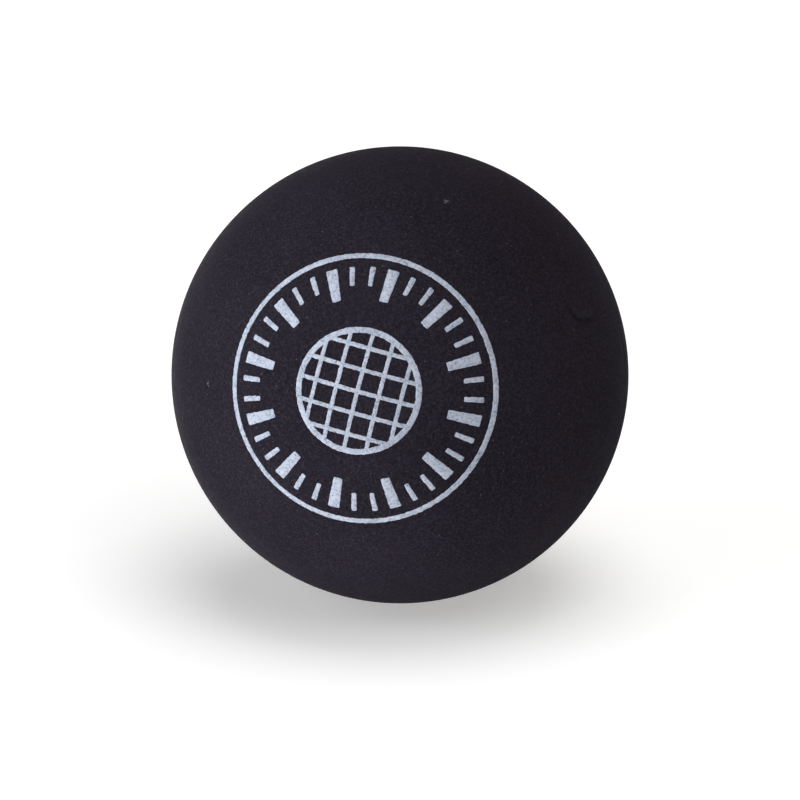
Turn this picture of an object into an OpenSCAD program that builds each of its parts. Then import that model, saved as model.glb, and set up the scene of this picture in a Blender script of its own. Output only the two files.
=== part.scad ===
// Squash ball: a hollow rubber ball of two moulded half shells, cemented rim to rim.
// The origin is the centre of the ball, +Z is up, and the printed face looks towards -Y.
// The ball is built on its pole axis, with the printed pole on top, and then turned to the
// way it lies. All sizes are in millimetres.

/* [Ball] */
// Outside diameter of the finished ball
ball_d = 40; // [30:0.5:60]
// Thickness of the rubber wall
wall_t = 5.2; // [3:0.1:8]

/* [Seam] */
// Thickness of the cement film between the two rims
film_t = 0.12; // [0.08:0.02:0.4]
// Leg of the bevel on the rim's inner edge, which takes the squeezed-out cement
bevel = 0.7; // [0.5:0.05:1.4]
// How far the bead of cement swells out of the bevels into the cavity
bead_swell = 0.3; // [0.1:0.05:0.4]
// Depth of the fine groove that is left over the seam
seam_groove = 0.08; // [0.04:0.02:0.3]

/* [Printed mark] */
// Thickness of the printed ink
ink_t = 0.04; // [0.03:0.01:0.1]
// Diameter of the thin outer ring, along its middle
ring_d = 22.9; // [22:0.1:25]
// Width of the ring's line
ring_w = 0.4; // [0.2:0.02:0.6]
// Space between the ring and the outer ends of the ticks
ring_gap = 0.7; // [0.4:0.05:1]
// Number of long ticks round the mark
long_ticks = 12; // [6:1:16]
// Number of short ticks between two long ones
short_ticks = 2; // [1:1:3]
// Length of a long tick
long_tick_l = 2.7; // [2:0.1:3]
// Width of a long tick, halfway along it
long_tick_w = 0.9; // [0.6:0.05:1]
// Length of a short tick
short_tick_l = 1.6; // [1:0.1:2]
// Width of a short tick, halfway along it
short_tick_w = 0.44; // [0.3:0.02:0.6]
// Outside diameter of the net in the middle
net_d = 11; // [9:0.1:12]
// Width of the net's round edge
net_edge_w = 0.5; // [0.3:0.02:0.7]
// Distance between the middles of two neighbouring strings
string_pitch = 1.9; // [1.4:0.1:2.4]
// Width of one string
string_w = 0.36; // [0.2:0.02:0.5]
// How far the mark is turned clockwise on the ball, in degrees
mark_roll = 12; // [0:1:90]

/* [Speed dot] */
// Diameter of the speed dot at the rear pole
speed_dot_d = 4; // [3:0.1:6]

/* [Lie] */
// How far above level the printed face looks, in degrees
face_tilt = 13.5; // [0:0.5:60]

/* [Hidden] */
$fn = 144;

// Colours of the rubber, the cement and the two inks
rubber_colour = [0.17, 0.16, 0.18];
cement_colour = [0.27, 0.24, 0.21];
mark_ink_colour = [0.76, 0.79, 0.85];
dot_ink_colour = [0.96, 0.83, 0.05];

// How far a cut runs past the solid that it is taken from
overrun = 0.5;

ball_r = ball_d / 2;
cavity_r = ball_r - wall_t;

// The rim's flat face, half a film above the seam plane
rim_z = film_t / 2;

// The bevel runs from its seat on the rim's face to its lip on the cavity wall
lip_z = rim_z + bevel;
lip_r = radius_at(lip_z, cavity_r);
seat = [cavity_r + bevel, rim_z];
lip = [lip_r, lip_z];

// The groove's flank runs from the edge of the cement film to the ball's surface
film_outer_r = ball_r - seam_groove;
groove_z = rim_z + seam_groove;
film_edge = [film_outer_r, rim_z];
groove_edge = [radius_at(groove_z, ball_r), groove_z];

// The bead's face is an arc through both lips that stands bead_swell proud of them
bead_r = (lip_z * lip_z + bead_swell * bead_swell) / (2 * bead_swell);
bead_x = lip_r - bead_swell + bead_r;

// The circle on which the ticks end
tick_outer_r = (ring_d - ring_w) / 2 - ring_gap;

// The point that lies on the line from one point to another, past the second one
function past(from, to) = to + (to - from) * overrun / norm(to - from);

// The same point on the other side of the seam plane
function below(point) = [point[0], -point[1]];

// Distance from the axis to a sphere of radius r at the height z
function radius_at(z, r) = sqrt(r * r - z * z);

// Angle, in degrees, that a width w takes up on a circle of radius r
function angle_of(w, r) = w / r * 180 / PI;

// Half of the ball's wall in section, with the axis at x = 0 and its pole up
module half_shell_profile() {
    difference() {
        circle(r = ball_r);
        circle(r = cavity_r);
        // Everything below the rim's face, and everything left of the axis
        translate([-ball_d, rim_z - 2 * ball_d]) square([3 * ball_d, 2 * ball_d]);
        translate([-2 * ball_d, -ball_d]) square([2 * ball_d, 3 * ball_d]);
        // The bevel on the rim's inner edge
        polygon([seat, past(seat, lip), [lip_r - overrun, rim_z - overrun]]);
        // The flank of the groove on its outer edge
        polygon([film_edge, past(film_edge, groove_edge), [ball_r + overrun, rim_z - overrun]]);
    }
}

// The cement in section: a film between the rims and a bead that fills both bevels
module cement_profile() {
    translate(below(seat)) square([film_outer_r - seat[0], film_t]);
    intersection() {
        translate([bead_x, 0]) circle(r = bead_r);
        polygon([seat, past(seat, lip), below(past(seat, lip)), below(seat)]);
    }
}

// Ink in section on the ball's surface, between two distances from the pole axis
module ink_profile(inner_r, outer_r) {
    intersection() {
        difference() {
            circle(r = ball_r + ink_t);
            circle(r = ball_r);
        }
        translate([inner_r, 0]) square([outer_r - inner_r, ball_d]);
    }
}

module ink_ring(mean_d, line_w) {
    rotate_extrude() ink_profile((mean_d - line_w) / 2, (mean_d + line_w) / 2);
}

module ink_dot(diameter) {
    rotate_extrude() ink_profile(0, diameter / 2);
}

// One tick, which ends on the tick circle and points at the pole
module ink_tick(length, width) {
    spread = angle_of(width, tick_outer_r - length / 2);
    rotate([0, 0, 90 - spread / 2])
        rotate_extrude(angle = spread) ink_profile(tick_outer_r - length, tick_outer_r);
}

// A round net: a dot of ink with the meshes between its strings left open
module ink_net() {
    open_r = net_d / 2 - net_edge_w;
    mesh_w = string_pitch - string_w;
    reach = floor(open_r / string_pitch) + 1 / 2;
    difference() {
        ink_dot(net_d);
        intersection() {
            cylinder(r = open_r, h = ball_d);
            for (i = [-reach : reach], j = [-reach : reach])
                if (norm([abs(i) - 1 / 2, abs(j) - 1 / 2]) * string_pitch + string_w < open_r)
                    translate([i * string_pitch - mesh_w / 2, j * string_pitch - mesh_w / 2])
                        cube([mesh_w, mesh_w, ball_d]);
        }
    }
}

// Turns a piece from the pole axis to the way the ball lies
module as_it_lies() {
    rotate([90 - face_tilt, 0, 0]) children();
}

module front_half_shell() {
    color(rubber_colour) as_it_lies() rotate_extrude() half_shell_profile();
}

module rear_half_shell() {
    color(rubber_colour) as_it_lies() mirror([0, 0, 1]) rotate_extrude() half_shell_profile();
}

module seam_cement() {
    color(cement_colour) as_it_lies() rotate_extrude() cement_profile();
}

// A plain dial of a ring and ticks, round a net
module printed_mark() {
    steps = long_ticks * (short_ticks + 1);
    color(mark_ink_colour) as_it_lies() rotate([0, 0, -mark_roll]) {
        ink_ring(ring_d, ring_w);
        for (i = [0 : steps - 1]) rotate([0, 0, i * 360 / steps])
            if (i % (short_ticks + 1) == 0) ink_tick(long_tick_l, long_tick_w);
            else ink_tick(short_tick_l, short_tick_w);
        ink_net();
    }
}

module speed_dot() {
    color(dot_ink_colour) as_it_lies() mirror([0, 0, 1]) ink_dot(speed_dot_d);
}

front_half_shell();
rear_half_shell();
seam_cement();
printed_mark();
speed_dot();
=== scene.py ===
"""The looks of a squash ball: two buffed rubber half shells, the cement between their rims
and two printed marks, on a pale studio floor. Lengths are in metres, in the model's own frame.
Each piece is built round the pole axis, with the printed pole on top, and then turned to the
way the ball lies."""

import math

import bmesh
import bpy
import mathutils
from mathutils import Matrix, Vector


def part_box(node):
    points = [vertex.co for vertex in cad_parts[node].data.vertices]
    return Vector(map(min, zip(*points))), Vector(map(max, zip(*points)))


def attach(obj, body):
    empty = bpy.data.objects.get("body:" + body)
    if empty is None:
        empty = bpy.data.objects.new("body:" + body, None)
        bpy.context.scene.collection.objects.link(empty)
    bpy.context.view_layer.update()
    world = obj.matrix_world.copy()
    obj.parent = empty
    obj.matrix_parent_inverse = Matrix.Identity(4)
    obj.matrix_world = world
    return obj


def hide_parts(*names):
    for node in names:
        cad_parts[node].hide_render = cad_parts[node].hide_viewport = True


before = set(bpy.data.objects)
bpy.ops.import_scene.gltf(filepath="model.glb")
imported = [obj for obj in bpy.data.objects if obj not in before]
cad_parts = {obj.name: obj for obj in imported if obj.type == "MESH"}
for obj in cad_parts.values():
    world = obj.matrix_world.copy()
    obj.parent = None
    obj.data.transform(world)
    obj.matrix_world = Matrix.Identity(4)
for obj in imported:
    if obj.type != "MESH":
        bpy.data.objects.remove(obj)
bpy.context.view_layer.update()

MM = 0.001
CENTRE = (0, 0, 0)
POLE = Vector((0, 0, 1))
SIDEWAYS = Vector((0, 1, 0))
FULL_TURN = 2 * math.pi

# The ball, its wall and the joint at its rims
BALL_R = round(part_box("front_half_shell")[1].x, 5)
CAVITY_R = BALL_R - 5.2 * MM
RIM_Z = 0.06 * MM
BEVEL = 0.7 * MM
BEAD_SWELL = 0.3 * MM
SEAM_GROOVE = 0.08 * MM
GROOVE_ROUNDING = 0.04 * MM
SEAT_R = CAVITY_R + BEVEL
LIP_Z = RIM_Z + BEVEL
FILM_OUTER_R = BALL_R - SEAM_GROOVE
GROOVE_Z = RIM_Z + SEAM_GROOVE

# How fine the round surfaces are
SPIN_STEPS = 288
INK_SPIN_STEPS = 144
OUTER_ARC_STEPS = 84
CAVITY_ARC_STEPS = 40
BEAD_ARC_STEPS = 10

# Points nearer than WELD are made one, and edges that bend more than SHARP_BEND look sharp
WELD = 0.001 * MM
SHARP_BEND = math.radians(38)

# The ink, how far it reaches into the rubber's grain, and the rounding of its top edge, which
# is found by its bend
INK_T = 0.04 * MM
INK_BITE = 0.012 * MM
INK_EDGE = 0.022 * MM
INK_EDGE_BEND = math.radians(60)

# How uneven the ink's outline is: the step between its points, the size of a wobble, in how
# many ever finer layers it comes and how far it strays
OUTLINE_STEP = 0.1 * MM
WOBBLE_SIZE = 0.28 * MM
WOBBLE_LAYERS = 2
WOBBLE = 0.04 * MM

# The dial: its outer ring, its ticks, each with a length and a width, and the net in its middle
RING_R = 11.45 * MM
RING_W = 0.4 * MM
RING_GAP = 0.7 * MM
TICK_OUTER_R = RING_R - RING_W / 2 - RING_GAP
LONG_TICKS = 12
SHORT_TICKS = 2
LONG_TICK = (2.7 * MM, 0.9 * MM)
SHORT_TICK = (1.6 * MM, 0.44 * MM)
TICK_CORNER = 0.1 * MM
NET_R = 5.5 * MM
NET_EDGE_W = 0.5 * MM
STRINGS = 5
STRING_W = 0.36 * MM
STRING_PITCH = 1.9 * MM
MARK_ROLL = math.radians(12)
SPEED_DOT_R = 2 * MM

# How the ball lies: the printed face looks towards -Y and this far above level
FACE_TILT = math.radians(13.5)
AS_IT_LIES = Matrix.Rotation(math.pi / 2 - FACE_TILT, 4, "X")

# The photograph's viewing angle, how near and how far the camera sees, and a frame drawn
# close round the ball
CAMERA_AZIMUTH = math.radians(10.85)
CAMERA_ELEVATION = math.radians(18)
CAMERA_DISTANCE = 1.0
CAMERA_SIGHT = (0.05, 20)
FRAME_WIDTH = 70 * MM
FRAME_DROP = 2.2 * MM

# The rubber's darker and paler patches, the dips and tips of its grain, its buffed band, the
# painted shade in the cut of its nick and the painted highlight on its lip, and the dust on it
RUBBER_DARK = (0.0153, 0.0120, 0.0170, 1)
RUBBER_PALE = (0.0187, 0.0148, 0.0208, 1)
GRAIN_DIP = (0.007, 0.005, 0.0082, 1)
GRAIN_TIP = (0.041, 0.035, 0.048, 1)
BUFFED = (0.032, 0.028, 0.035, 1)
NICK_PAINTED_SHADE = (0.006, 0.005, 0.007, 1)
NICK_LIP_PAINTED_HIGHLIGHT = (0.032, 0.027, 0.034, 1)
DUST = (0.22, 0.21, 0.23, 1)

# The cement's streaks, each ink where it is thin and where it covers fully, and its gaps
CEMENT_DARK = (0.0095, 0.0075, 0.0080, 1)
CEMENT_PALE = (0.0165, 0.0130, 0.0125, 1)
GREY_THIN = (0.31, 0.33, 0.405, 1)
GREY_FULL = (0.43, 0.45, 0.53, 1)
YELLOW_THIN = (0.72, 0.47, 0.01, 1)
YELLOW_FULL = (0.87, 0.62, 0.014, 1)
INK_GAP = (0.02, 0.017, 0.022, 1)

# How deep the grain is, bare and under ink
GRAIN_DEPTH = 0.11 * MM
INKED_GRAIN_DEPTH = 0.04 * MM

# The floor, what it adds for the camera alone, and how strongly the white sky lights the ball
FLOOR_REACH = 6.0
FLOOR_PALE = (0.95, 0.95, 0.95, 1)
FLOOR_GLOW = (0.238, 0.212, 0.197, 1)
SKY_WHITE = (1, 1, 1, 1)
SKY_LIGHT = 0.1


def from_side(azimuth, elevation):
    """The direction from the ball to something at that azimuth and elevation."""
    return Vector((
        math.sin(azimuth) * math.cos(elevation),
        -math.cos(azimuth) * math.cos(elevation),
        math.sin(elevation),
    ))


def radius_at(height, radius):
    """Distance from the pole axis to a sphere at that height."""
    return math.sqrt(radius * radius - height * height)


def seen_at(right, up):
    """The point of the ball that the camera sees that far right and up, in ball radii."""
    back = from_side(CAMERA_AZIMUTH, CAMERA_ELEVATION)
    rightwards = POLE.cross(back).normalized()
    upwards = back.cross(rightwards)
    return (rightwards * right + upwards * up + back * radius_at(math.hypot(right, up), 1)) * BALL_R


def held(value, least=0):
    """The value, held between the least and 1."""
    return min(max(value, least), 1)


# Bits of lint on the rubber: the middle and the radius in millimetres, and the cover
LINT = [
    (seen_at(0.20, 0.75) / MM, 0.28, 0.5),
    (seen_at(-0.83, -0.04) / MM, 0.24, 0.55),
]

# A small curved nick in the rubber: the middles and the radius of three round spots. The cut is
# what the first covers and the second doesn't, and its raised lip is what the second covers and
# the third doesn't. The lip's height is a share of the cut's depth.
NICK = [seen_at(0.778, 0.332), seen_at(0.774, 0.357), seen_at(0.769, 0.381)]
NICK_R = 2.6 * MM
NICK_DEPTH = 0.12 * MM
NICK_LIP_SHARE = 0.6

# How ragged the nick is: how far its spots fade and stray, how often they stray and change their
# depth, and the middle and the least of their depth as shares
NICK_FADE = 0.3 * MM
NICK_STRAY = 0.25 * MM
NICK_STRAYS_PER_MM = 1.2
NICK_CHANGES_PER_MM = 0.6
NICK_MIDDLE_SHARE = 0.65
NICK_LEAST_SHARE = 0.3

# How far the finer mesh about the nick reaches, and how often it cuts each edge
NICK_REACH = 3.1 * MM
NICK_EDGE_CUTS = 4

# Without a seed the strays of the ink's outline and of the nick would differ from run to run
NOISE_SEED = 7


def sweep(bm, geometry, axis, angle, steps):
    """Spins geometry about an axis through the ball's centre and gives back the last copy."""
    spun = bmesh.ops.spin(
        bm, geom=geometry, cent=CENTRE, axis=axis, angle=angle, steps=steps, use_duplicate=False
    )
    return spun["geom_last"]


def spin_round(bm, profile, steps):
    """Turns a profile drawn in bm right round the pole axis and closes it at the poles."""
    bmesh.ops.spin(
        bm, geom=profile, cent=CENTRE, axis=POLE, angle=FULL_TURN, steps=steps,
        use_merge=True, use_duplicate=False
    )
    bmesh.ops.remove_doubles(bm, verts=bm.verts[:], dist=WELD)


def next_point(bm, vert, radius, height):
    """Draws the profile on from vert to the point at that radius and height."""
    drawn = bm.verts.new((radius, 0, height))
    bm.edges.new((vert, drawn))
    return drawn


def even_triangles(bm, faces):
    """Cuts faces into triangles that are as even as their points allow."""
    bmesh.ops.triangulate(bm, faces=faces, quad_method="BEAUTY", ngon_method="BEAUTY")


def turn_over(bm):
    """Mirrors what is in bm to the rear pole."""
    bmesh.ops.scale(bm, verts=bm.verts[:], vec=(1, 1, -1))


def piece(bm, name, material, node):
    """Turns a finished bmesh to the way the ball lies, makes it an object on the root body and
    hides the CAD node that it stands in for.
    """
    bmesh.ops.recalc_face_normals(bm, faces=bm.faces[:])
    bmesh.ops.transform(bm, matrix=AS_IT_LIES, verts=bm.verts[:])
    for face in bm.faces:
        face.smooth = True
    for edge in bm.edges:
        edge.smooth = edge.calc_face_angle(0) < SHARP_BEND
    mesh = bpy.data.meshes.new(name)
    bm.to_mesh(mesh)
    bm.free()
    mesh.materials.append(material)
    obj = bpy.data.objects.new(name, mesh)
    bpy.context.scene.collection.objects.link(obj)
    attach(obj, "root")
    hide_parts(node)


def half_shell():
    """One thick half shell: buffed outside, cavity wall, flat rim, bevel and groove flank."""
    bm = bmesh.new()
    pole = bm.verts.new((0, 0, BALL_R))
    outer = sweep(bm, [pole], SIDEWAYS, math.acos(GROOVE_Z / BALL_R), OUTER_ARC_STEPS)
    groove = next(v for v in outer if isinstance(v, bmesh.types.BMVert))
    film_edge = next_point(bm, groove, FILM_OUTER_R, RIM_Z)
    seat = next_point(bm, film_edge, SEAT_R, RIM_Z)
    lip = next_point(bm, seat, radius_at(LIP_Z, CAVITY_R), LIP_Z)
    sweep(bm, [lip], SIDEWAYS, -math.acos(LIP_Z / CAVITY_R), CAVITY_ARC_STEPS)
    bmesh.ops.bevel(
        bm, geom=[groove], offset=GROOVE_ROUNDING, segments=3, profile=0.5,
        affect="VERTICES", material=-1
    )
    spin_round(bm, bm.verts[:] + bm.edges[:], SPIN_STEPS)
    return bm


def nicked_half_shell():
    """The front half shell, with the nick cut into its outside and the lip pushed up. Each point
    keeps how deep it was cut, below zero where it was pushed up, for the painted shade in the
    cut and the painted highlight on the lip."""
    bm = half_shell()
    spots = [AS_IT_LIES.inverted() @ middle for middle in NICK]
    depth = bm.verts.layers.float.new("nick")
    near = [e for e in bm.edges if all((v.co - spots[0]).length < NICK_REACH for v in e.verts)]
    bmesh.ops.subdivide_edges(bm, edges=near, cuts=NICK_EDGE_CUTS, use_grid_fill=True)
    for vert in bm.verts:
        if (vert.co - spots[0]).length < NICK_REACH:
            place = vert.co / MM
            stray = mathutils.noise.noise_vector(place * NICK_STRAYS_PER_MM) * NICK_STRAY
            covers = [held((NICK_R - (vert.co + stray - s).length) / NICK_FADE) for s in spots]
            cut = held(covers[0] - covers[1])
            lip = held(covers[1] - covers[2])
            change = mathutils.noise.noise(place * NICK_CHANGES_PER_MM)
            share = held(NICK_MIDDLE_SHARE + change, least=NICK_LEAST_SHARE)
            vert[depth] = (cut - lip * NICK_LIP_SHARE) * share
            vert.co = vert.co.normalized() * (BALL_R - vert[depth] * NICK_DEPTH)
    even_triangles(bm, [f for f in bm.faces if len(f.verts) > 4])
    return bm


def cement_ring():
    """The cement film between the rims, with the bead that fills both bevels."""
    bm = bmesh.new()
    lip_r = radius_at(LIP_Z, CAVITY_R)
    bead_r = (LIP_Z * LIP_Z + BEAD_SWELL * BEAD_SWELL) / (2 * BEAD_SWELL)
    bead_x = lip_r - BEAD_SWELL + bead_r
    half_angle = math.asin(LIP_Z / bead_r)
    low_lip = bm.verts.new((lip_r, 0, -LIP_Z))
    arc = bmesh.ops.spin(
        bm, geom=[low_lip], cent=(bead_x, 0, 0), axis=SIDEWAYS, angle=2 * half_angle,
        steps=BEAD_ARC_STEPS, use_duplicate=False
    )
    lip = next(v for v in arc["geom_last"] if isinstance(v, bmesh.types.BMVert))
    seat = next_point(bm, lip, SEAT_R, RIM_Z)
    film_edge = next_point(bm, seat, FILM_OUTER_R, RIM_Z)
    low_film_edge = next_point(bm, film_edge, FILM_OUTER_R, -RIM_Z)
    low_seat = next_point(bm, low_film_edge, SEAT_R, -RIM_Z)
    bm.edges.new((low_seat, low_lip))
    spin_round(bm, bm.verts[:] + bm.edges[:], SPIN_STEPS)
    return bm


def roughen(bm):
    """Makes the outline of the flat ink in bm a little uneven, as a print on grained rubber is.
    Its points are first spaced more evenly."""
    bmesh.ops.remove_doubles(bm, verts=bm.verts[:], dist=OUTLINE_STEP / 3)
    by_cuts = {}
    for edge in bm.edges:
        if edge.is_boundary:
            by_cuts.setdefault(int(edge.calc_length() / OUTLINE_STEP), []).append(edge)
    by_cuts.pop(0, None)
    for cuts, edges in by_cuts.items():
        bmesh.ops.bisect_edges(bm, edges=edges, cuts=cuts)
    for vert in bm.verts:
        if vert.is_boundary:
            stray = mathutils.noise.turbulence_vector(vert.co / WOBBLE_SIZE, WOBBLE_LAYERS, False)
            vert.co += Vector((stray.x, stray.y, 0)) * WOBBLE


def thicken(bm):
    """Gives the flat ink in bm its thickness, and thins it towards its edges."""
    lifted = bmesh.ops.extrude_face_region(bm, geom=bm.faces[:])
    top = [v for v in lifted["geom"] if isinstance(v, bmesh.types.BMVert)]
    bmesh.ops.translate(bm, verts=top, vec=POLE * (INK_T + INK_BITE))
    bmesh.ops.recalc_face_normals(bm, faces=bm.faces[:])
    raised = set(top)
    top_edge = [
        e for e in bm.edges if raised.issuperset(e.verts) and e.calc_face_angle(0) > INK_EDGE_BEND
    ]
    bmesh.ops.bevel(
        bm, geom=top_edge, offset=INK_EDGE, segments=2, profile=0.5, affect="EDGES", material=-1,
        clamp_overlap=True
    )
    even_triangles(bm, bm.faces[:])


def wrap(bm):
    """Lays flat ink on the ball, straight down the pole axis."""
    for vert in bm.verts:
        away = math.hypot(vert.co.x, vert.co.y)
        seat = Vector((vert.co.x, vert.co.y, radius_at(away, BALL_R)))
        vert.co = seat * (1 + (vert.co.z - INK_BITE) / BALL_R)


def flat_band(bm, inner_r, outer_r, rounds):
    """A flat round band of ink, or a dot where inner_r is zero."""
    line = [bm.verts.new((inner_r, 0, 0))]
    edges = []
    for i in range(rounds):
        line.append(bm.verts.new((inner_r + (outer_r - inner_r) * (i + 1) / rounds, 0, 0)))
        edges.append(bm.edges.new(line[-2:]))
    spin_round(bm, line + edges, INK_SPIN_STEPS)


def flat_tick(bm, size, turn):
    """A flat tick of ink that ends on the tick circle and points at the pole."""
    length, width = size
    grid = bmesh.ops.create_grid(bm, x_segments=2, y_segments=5, size=0.5)
    middle_r = TICK_OUTER_R - length / 2
    for vert in grid["verts"]:
        away = middle_r + vert.co.y * length
        vert.co = Vector((vert.co.x * width * away / middle_r, away, 0))
    bmesh.ops.rotate(bm, verts=grid["verts"], cent=CENTRE, matrix=Matrix.Rotation(-turn, 3, "Z"))
    corners = [v for v in grid["verts"] if len(v.link_edges) == 2]
    bmesh.ops.bevel(
        bm, geom=corners, offset=TICK_CORNER, segments=3, profile=0.5, affect="VERTICES", material=-1
    )


def flat_net(bm):
    """A flat round net of ink: strings both ways inside a round edge."""
    open_r = NET_R - NET_EDGE_W
    bmesh.ops.create_circle(bm, cap_ends=True, segments=INK_SPIN_STEPS, radius=open_r)
    middle_string = (STRINGS - 1) / 2
    string_places = [(i - middle_string) * STRING_PITCH for i in range(STRINGS)]
    for across in (Vector((1, 0, 0)), Vector((0, 1, 0))):
        for place in string_places:
            for side in (-1, 1):
                bmesh.ops.bisect_plane(
                    bm, geom=bm.verts[:] + bm.edges[:] + bm.faces[:], dist=WELD / 10,
                    plane_co=across * (place + side * STRING_W / 2), plane_no=across
                )
    edge = [e for e in bm.edges if e.is_boundary]
    spread = bmesh.ops.extrude_edge_only(bm, edges=edge)
    outside = [v for v in spread["geom"] if isinstance(v, bmesh.types.BMVert)]
    for vert in outside:
        vert.co *= NET_R / vert.co.length

    def is_open(face):
        middle = face.calc_center_median()
        on_string = any(min(abs(middle.x - p), abs(middle.y - p)) < STRING_W / 2 for p in string_places)
        return middle.length < open_r and not on_string

    bmesh.ops.delete(bm, geom=[f for f in bm.faces if is_open(f)], context="FACES")


def print_flat(bm, draw, **sizes):
    """Draws one flat part of a print, makes it an uneven film of ink and adds it to bm."""
    part = bmesh.new()
    draw(part, **sizes)
    roughen(part)
    thicken(part)
    mesh = bpy.data.meshes.new("part")
    part.to_mesh(mesh)
    part.free()
    bm.from_mesh(mesh)
    bpy.data.meshes.remove(mesh)


def dial():
    """The printed mark: a plain dial of a ring and ticks, round a net."""
    bm = bmesh.new()
    print_flat(bm, flat_band, inner_r=RING_R - RING_W / 2, outer_r=RING_R + RING_W / 2, rounds=2)
    print_flat(bm, flat_net)
    ticks = LONG_TICKS * (SHORT_TICKS + 1)
    for i in range(ticks):
        size = SHORT_TICK if i % (SHORT_TICKS + 1) else LONG_TICK
        print_flat(bm, flat_tick, size=size, turn=FULL_TURN * i / ticks)
    wrap(bm)
    bmesh.ops.rotate(bm, verts=bm.verts[:], cent=CENTRE, matrix=Matrix.Rotation(-MARK_ROLL, 3, "Z"))
    return bm


def speed_dot():
    """The round dot at the rear pole."""
    bm = bmesh.new()
    print_flat(bm, flat_band, inner_r=0, outer_r=SPEED_DOT_R, rounds=8)
    wrap(bm)
    turn_over(bm)
    return bm


def add_node(tree, kind, inputs=None, **settings):
    """Adds a shader node. An input that is a socket is linked, and any other is set."""
    made = tree.nodes.new(kind)
    for key, value in settings.items():
        setattr(made, key, value)
    for key, value in (inputs or {}).items():
        if isinstance(value, bpy.types.NodeSocket):
            tree.links.new(value, made.inputs[key])
        else:
            made.inputs[key].default_value = value
    return made


def new_finish(name):
    """An empty material, its nodes and the place on the piece in millimetres."""
    material = bpy.data.materials.new(name)
    material.use_nodes = True
    tree = material.node_tree
    tree.nodes.clear()
    place = add_node(tree, "ShaderNodeTexCoord").outputs["Object"]
    place_mm = add_node(tree, "ShaderNodeMapping", {"Vector": place, "Scale": [1 / MM] * 3})
    return material, tree, place_mm.outputs["Vector"]


def noise(tree, place, per_mm, detail=2.0, rough=0.5, result="Fac"):
    """Soft noise from 0 to 1, with about per_mm lumps in a millimetre."""
    made = add_node(
        tree, "ShaderNodeTexNoise",
        {"Vector": place, "Scale": per_mm, "Detail": detail, "Roughness": rough}
    )
    return made.outputs[result]


def strewn(tree, place, per_mm):
    """How far it is to the nearest of many strewn points, as a share of their spacing."""
    return add_node(tree, "ShaderNodeTexVoronoi", {"Vector": place, "Scale": per_mm}).outputs["Distance"]


def fit(tree, value, over, gives):
    """Goes from the first of gives to the second while value goes over its span."""
    spans = {"From Min": over[0], "From Max": over[1], "To Min": gives[0], "To Max": gives[1]}
    return add_node(tree, "ShaderNodeMapRange", {"Value": value, **spans}).outputs["Result"]


def maths(tree, operation, first, second=0.0):
    """What an operation makes of one or two numbers."""
    made = add_node(tree, "ShaderNodeMath", {0: first, 1: second}, operation=operation)
    return made.outputs["Value"]


def vector_maths(tree, operation, inputs, result="Vector"):
    """What an operation makes of its vectors."""
    return add_node(tree, "ShaderNodeVectorMath", inputs, operation=operation).outputs[result]


def mix(tree, share, first, second):
    """The first colour, with a share of the second over it."""
    made = add_node(tree, "ShaderNodeMix", {"Factor": share, "A": first, "B": second}, data_type="RGBA")
    return made.outputs["Result"]


def bump(tree, height, depth):
    """The way the surface faces where its height varies by that depth."""
    made = add_node(tree, "ShaderNodeBump", {"Height": height, "Distance": depth, "Strength": 1.0})
    return made.outputs["Normal"]


def surface(tree, inputs):
    """Finishes a material with its shader."""
    shader = add_node(tree, "ShaderNodeBsdfPrincipled", inputs)
    add_node(tree, "ShaderNodeOutputMaterial", {"Surface": shader.outputs["BSDF"]})


def rubber_grain(tree, place):
    """The buffed surface: its fine grain, and its height with a slower swell and pits."""
    fine = noise(tree, place, per_mm=4.5, detail=4.0, rough=0.7)
    swell = maths(tree, "MULTIPLY", noise(tree, place, per_mm=0.7), 1.4)
    pits = fit(tree, strewn(tree, place, per_mm=1.5), over=(0.0, 0.2), gives=(0.0, 0.4))
    return fine, maths(tree, "ADD", maths(tree, "ADD", fine, swell), pits)


def seam_buffing(tree, place):
    """How strongly buffing marked the rubber near the seam, and the fine lines that it left. The
    lines are noise that is stretched along the seam and squeezed across it."""
    pole = AS_IT_LIES @ POLE
    height = vector_maths(tree, "DOT_PRODUCT", {0: place, 1: pole}, result="Value")
    near = fit(tree, maths(tree, "ABSOLUTE", height), over=(0.3, 1.3), gives=(1.0, 0.0))
    patchy = fit(tree, noise(tree, place, per_mm=0.2), over=(0.35, 0.65), gives=(0.2, 1.0))
    stretch = (0.5, 0.5, 0.5)
    squeezed = vector_maths(tree, "SCALE", {0: pole, "Scale": maths(tree, "MULTIPLY", height, 7.0)})
    along = vector_maths(tree, "MULTIPLY_ADD", {0: place, 1: stretch, 2: squeezed})
    lines = noise(tree, along, per_mm=1.0, detail=3.0, rough=0.6)
    return maths(tree, "MULTIPLY", near, patchy), lines


def ragged(tree, place):
    """The same place with a small stray, so that a spot drawn by it gets an uneven edge."""
    middle = (0.5, 0.5, 0.5)
    colour = noise(tree, place, per_mm=2.4, result="Color")
    stray = vector_maths(tree, "SUBTRACT", {0: colour, 1: middle})
    return vector_maths(tree, "ADD", {0: stray, 1: place})


def speck(tree, place, centre, radius, strength):
    """A round spot about a point given in millimetres, which fades over its outer part."""
    away = vector_maths(tree, "DISTANCE", {0: place, 1: centre}, result="Value")
    return fit(tree, away, over=(radius * 0.3, radius), gives=(strength, 0.0))


def dust_and_lint(tree, place):
    """How much dust covers the rubber: strewn specks, and the bits of lint."""
    cover = fit(tree, strewn(tree, place, per_mm=0.9), over=(0.02, 0.08), gives=(0.3, 0.0))
    lint_place = ragged(tree, place)
    for centre, radius, strength in LINT:
        lint = speck(tree, lint_place, centre, radius, strength)
        cover = maths(tree, "MAXIMUM", cover, lint)
    return cover


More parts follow.
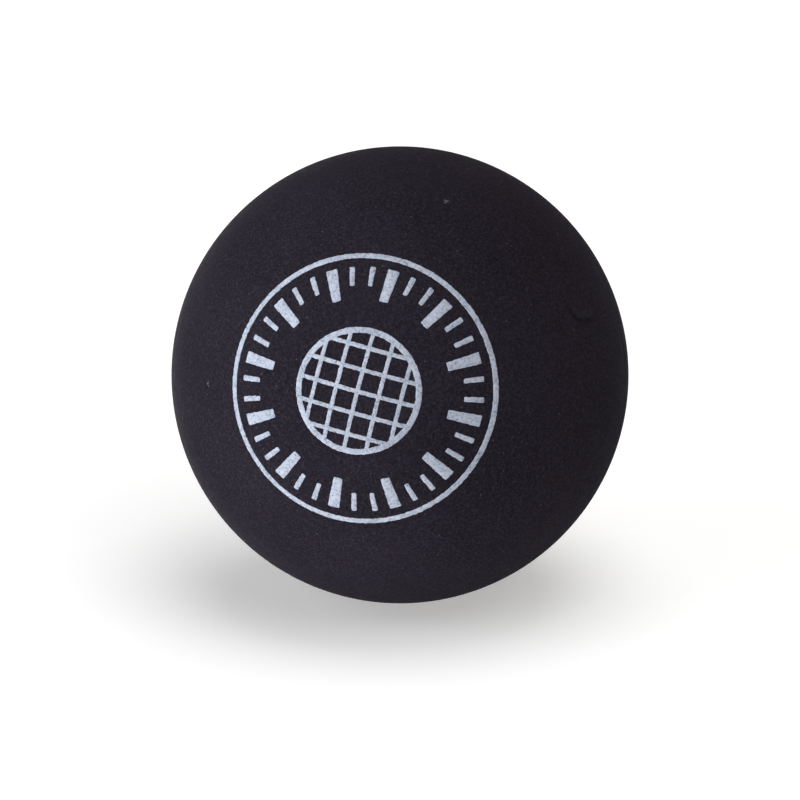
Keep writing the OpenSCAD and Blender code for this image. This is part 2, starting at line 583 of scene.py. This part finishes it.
def buffed_rubber():
    """Matte black rubber: patches, grain, the buffed band at the seam, painted shade in the nick's
    cut and a painted highlight on its lip, dust and lint.
    """
    material, tree, place = new_finish("buffed_rubber")
    patch = fit(tree, noise(tree, place, per_mm=0.1), over=(0.35, 0.65), gives=(0.0, 1.0))
    colour = mix(tree, patch, RUBBER_DARK, RUBBER_PALE)
    fine, height = rubber_grain(tree, place)
    colour = mix(tree, fit(tree, fine, over=(0.3, 0.5), gives=(0.7, 0.0)), colour, GRAIN_DIP)
    colour = mix(tree, fit(tree, fine, over=(0.5, 0.7), gives=(0.0, 0.7)), colour, GRAIN_TIP)
    near_seam, lines = seam_buffing(tree, place)
    lined = fit(tree, lines, over=(0.4, 0.7), gives=(0.15, 0.8))
    colour = mix(tree, maths(tree, "MULTIPLY", near_seam, lined), colour, BUFFED)
    height = maths(tree, "ADD", height, maths(tree, "MULTIPLY", near_seam, lines))
    nick = add_node(tree, "ShaderNodeAttribute", attribute_name="nick").outputs["Fac"]
    # Painted shade darkens the nick's cut and a painted highlight lightens its raised lip
    cut = fit(tree, nick, over=(0.0, 1.0), gives=(0.0, 0.6))
    lip = fit(tree, nick, over=(0.0, -NICK_LIP_SHARE), gives=(0.0, 0.4))
    colour = mix(tree, cut, colour, NICK_PAINTED_SHADE)
    colour = mix(tree, lip, colour, NICK_LIP_PAINTED_HIGHLIGHT)
    colour = mix(tree, dust_and_lint(tree, place), colour, DUST)
    surface(tree, {
        "Base Color": colour,
        "Roughness": fit(tree, fine, over=(0.3, 0.7), gives=(0.7, 0.85)),
        "Specular IOR Level": 0.01,
        "Normal": bump(tree, height, GRAIN_DEPTH),
    })
    return material


def dried_cement():
    """Dried rubber cement, streaky and a little glossier than the rubber."""
    material, tree, place = new_finish("dried_cement")
    streak = noise(tree, place, per_mm=1.6, detail=3.0)
    surface(tree, {
        "Base Color": mix(tree, streak, CEMENT_DARK, CEMENT_PALE),
        "Roughness": fit(tree, streak, over=(0.3, 0.7), gives=(0.5, 0.65)),
        "Specular IOR Level": 0.05,
    })
    return material


def printed_ink(name, thin, full):
    """Pad-printed ink: cloudy cover, thin over the dips of the grain, and with pinholes."""
    material, tree, place = new_finish(name)
    cloud = noise(tree, place, per_mm=0.9, detail=4.0, rough=0.65)
    colour = mix(tree, fit(tree, cloud, over=(0.33, 0.67), gives=(0.0, 1.0)), thin, full)
    fine, height = rubber_grain(tree, place)
    dip = fit(tree, fine, over=(0.36, 0.52), gives=(0.5, 0.0))
    pinhole = fit(tree, noise(tree, place, per_mm=3.4), over=(0.66, 0.72), gives=(0.0, 0.75))
    colour = mix(tree, maths(tree, "MAXIMUM", dip, pinhole), colour, INK_GAP)
    surface(tree, {
        "Base Color": colour,
        "Roughness": fit(tree, fine, over=(0.3, 0.7), gives=(0.5, 0.65)),
        "Specular IOR Level": 0.3,
        "Normal": bump(tree, height, INKED_GRAIN_DEPTH),
    })
    return material


def seen_directly(tree):
    """1 for a ray from the camera or a mirror-like one, and 0 for the light on the ball."""
    path = add_node(tree, "ShaderNodeLightPath").outputs
    mirrored = maths(tree, "MAXIMUM", path["Is Glossy Ray"], path["Is Transmission Ray"])
    return maths(tree, "MAXIMUM", path["Is Camera Ray"], mirrored)


def pale_floor():
    """A plain pale finish that glows a little for the camera, and so looks white round a shadow."""
    material = bpy.data.materials.new("pale_floor")
    material.use_nodes = True
    tree = material.node_tree
    tree.nodes.clear()
    pale = add_node(tree, "ShaderNodeBsdfDiffuse", {"Color": FLOOR_PALE})
    glow = add_node(tree, "ShaderNodeEmission", {"Color": FLOOR_GLOW, "Strength": seen_directly(tree)})
    look = add_node(tree, "ShaderNodeAddShader", {0: pale.outputs["BSDF"], 1: glow.outputs["Emission"]})
    add_node(tree, "ShaderNodeOutputMaterial", {"Surface": look.outputs["Shader"]})
    return material


def studio_floor():
    """A wide floor under the ball, which keeps its shadow."""
    bm = bmesh.new()
    bmesh.ops.create_grid(bm, x_segments=1, y_segments=1, size=FLOOR_REACH)
    bmesh.ops.translate(bm, verts=bm.verts[:], vec=-POLE * BALL_R)
    mesh = bpy.data.meshes.new("studio_floor")
    bm.to_mesh(mesh)
    bm.free()
    mesh.materials.append(pale_floor())
    floor = bpy.data.objects.new("studio_floor", mesh)
    bpy.context.scene.collection.objects.link(floor)


def studio_sky():
    """A sky that is white where it is seen, and lights the ball faintly."""
    world = bpy.data.worlds.new("studio")
    bpy.context.scene.world = world
    world.use_nodes = True
    tree = world.node_tree
    tree.nodes.clear()
    strength = fit(tree, seen_directly(tree), over=(0.0, 1.0), gives=(SKY_LIGHT, 1.0))
    sky = add_node(tree, "ShaderNodeBackground", {"Color": SKY_WHITE, "Strength": strength})
    add_node(tree, "ShaderNodeOutputWorld", {"Surface": sky.outputs["Background"]})


def soft_lamp(name, azimuth, elevation, strength, spread, colour=(1, 1, 1), shadow=True):
    """A broad lamp far away, at that azimuth from the view along +Y and elevation in degrees."""
    light = bpy.data.lights.new(name, "SUN")
    light.color = colour
    light.energy = strength
    light.angle = math.radians(spread)
    light.use_shadow = shadow
    lamp = bpy.data.objects.new(name, light)
    bpy.context.scene.collection.objects.link(lamp)
    back = from_side(math.radians(azimuth), math.radians(elevation))
    lamp.rotation_mode = "QUATERNION"
    lamp.rotation_quaternion = back.to_track_quat("Z", "Y")


def studio_lamps():
    """Two lamps that cast the ball's shadow, and three fills that hold its sides and its foot."""
    soft_lamp("top_lamp", azimuth=140, elevation=84, strength=1.02, spread=45)
    soft_lamp("front_lamp", azimuth=40, elevation=55, strength=0.72, spread=45)
    soft_lamp(
        "left_fill", azimuth=-50, elevation=10, strength=3.95, spread=70,
        colour=(0.87, 0.96, 1), shadow=False
    )
    soft_lamp("low_fill", azimuth=-40, elevation=-40, strength=1.85, spread=70, shadow=False)
    soft_lamp("back_fill", azimuth=207, elevation=-16, strength=1.8, spread=30, shadow=False)


def camera():
    """The camera at the photograph's viewing angle."""
    data = bpy.data.cameras.new("camera")
    data.lens = data.sensor_width * CAMERA_DISTANCE / FRAME_WIDTH
    data.clip_start, data.clip_end = CAMERA_SIGHT
    obj = bpy.data.objects.new("camera", data)
    bpy.context.scene.collection.objects.link(obj)
    back = from_side(CAMERA_AZIMUTH, CAMERA_ELEVATION)
    turn = back.to_track_quat("Z", "Y")
    obj.rotation_mode = "QUATERNION"
    obj.rotation_quaternion = turn
    obj.location = back * CAMERA_DISTANCE - turn @ Vector((0, FRAME_DROP, 0))
    bpy.context.scene.camera = obj


bpy.context.scene.view_settings.view_transform = "Standard"
camera()
studio_sky()
studio_lamps()
studio_floor()

mathutils.noise.seed_set(NOISE_SEED)
rubber = buffed_rubber()
piece(nicked_half_shell(), "front_shell_rubber", rubber, "front_half_shell")
rear = half_shell()
turn_over(rear)
piece(rear, "rear_shell_rubber", rubber, "rear_half_shell")
piece(cement_ring(), "cement_between_rims", dried_cement(), "seam_cement")
grey_ink = printed_ink("grey_ink", GREY_THIN, GREY_FULL)
piece(dial(), "dial_ink", grey_ink, "printed_mark")
yellow_ink = printed_ink("yellow_ink", YELLOW_THIN, YELLOW_FULL)
piece(speed_dot(), "speed_dot_ink", yellow_ink, "speed_dot")
